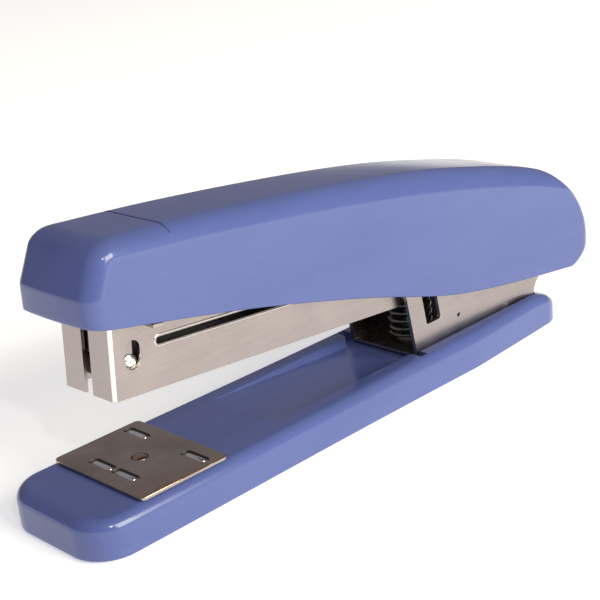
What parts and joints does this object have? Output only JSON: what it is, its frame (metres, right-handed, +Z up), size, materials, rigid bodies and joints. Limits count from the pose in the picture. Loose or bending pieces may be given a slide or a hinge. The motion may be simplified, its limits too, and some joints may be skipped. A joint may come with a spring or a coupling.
{
  "type": "desk stapler",
  "caption": "Manual desk stapler: hinged cover over a spring-lifted magazine with a spring-fed pusher, riveted bracket, and an anvil that lifts on a button to turn for pinning",
  "frame": {"origin": "on the desk, under the middle of the whole stapler", "axes": "+X from the nose towards the hinge, +Y across, +Z up from the desk"},
  "size_m": [0.1577, 0.0312, 0.0574],
  "materials": {
    "blue_shell": "glossy moulded plastic, periwinkle blue",
    "nickel_plate": "nickel-plated sheet steel, soft warm sheen",
    "dark_chrome": "polished hardened steel, dark mirror",
    "spring_steel": "dark drawn spring wire",
    "black_rubber": "matt black rubber",
    "black_plastic": "black moulded button"
  },
  "bodies": {
    "base": {"base_shell": "blue_shell", "base_stiffener": "nickel_plate", "rubber_sole": "black_rubber", "rear_bracket": "nickel_plate", "bracket_rivet_1": "nickel_plate", "bracket_rivet_2": "nickel_plate", "hinge_pin": "nickel_plate", "lift_spring": "spring_steel"},
    "magazine": {"magazine": "nickel_plate", "staple_rail": "nickel_plate", "rail_rivet_1": "nickel_plate", "rail_rivet_2": "nickel_plate", "pusher_rod": "nickel_plate", "pusher_spring": "spring_steel", "cover_spring": "spring_steel"},
    "cover": {"cover": "blue_shell", "handle_frame": "nickel_plate", "driver": "dark_chrome", "driver_rivet": "nickel_plate"},
    "pusher": {"pusher": "nickel_plate"},
    "anvil_button": {"anvil_button": "black_plastic", "anvil_spring": "spring_steel"},
    "anvil": {"anvil_plate": "dark_chrome", "anvil_shaft": "dark_chrome"}
  },
  "joints": [
    {"name": "magazine_hinge", "type": "hinge", "parent": "base", "child": "magazine", "pos_m": [0.06413, 0, 0.0235], "axis": [0, 1, 0], "range_deg": [-7.33, 0], "stiffness_Nm_per_rad": 1.5, "springref_deg": 6.88, "deforming": ["lift_spring"]},
    {"name": "cover_hinge", "type": "hinge", "parent": "magazine", "child": "cover", "pos_m": [0.06413, 0, 0.0235], "axis": [0, 1, 0], "range_deg": [-3.5, 85], "stiffness_Nm_per_rad": 0.6, "springref_deg": 2.86, "deforming": ["cover_spring"]},
    {"name": "pusher_slide", "type": "slide", "parent": "magazine", "child": "pusher", "axis": [0.996, 0, -0.0889], "range_m": [0, 0.045], "stiffness_N_per_m": 45, "springref_m": -0.06, "deforming": ["pusher_spring"]},
    {"name": "anvil_lift", "type": "slide", "parent": "base", "child": "anvil_button", "axis": [0, 0, 1], "range_m": [0, 0.002], "stiffness_N_per_m": 500, "springref_m": -0.003, "deforming": ["anvil_spring"]},
    {"name": "anvil_turn", "type": "hinge", "parent": "anvil_button", "child": "anvil", "pos_m": [-0.05607, 0, 0.0092], "axis": [0, 0, 1], "range_deg": [0, 180]}
  ]
}
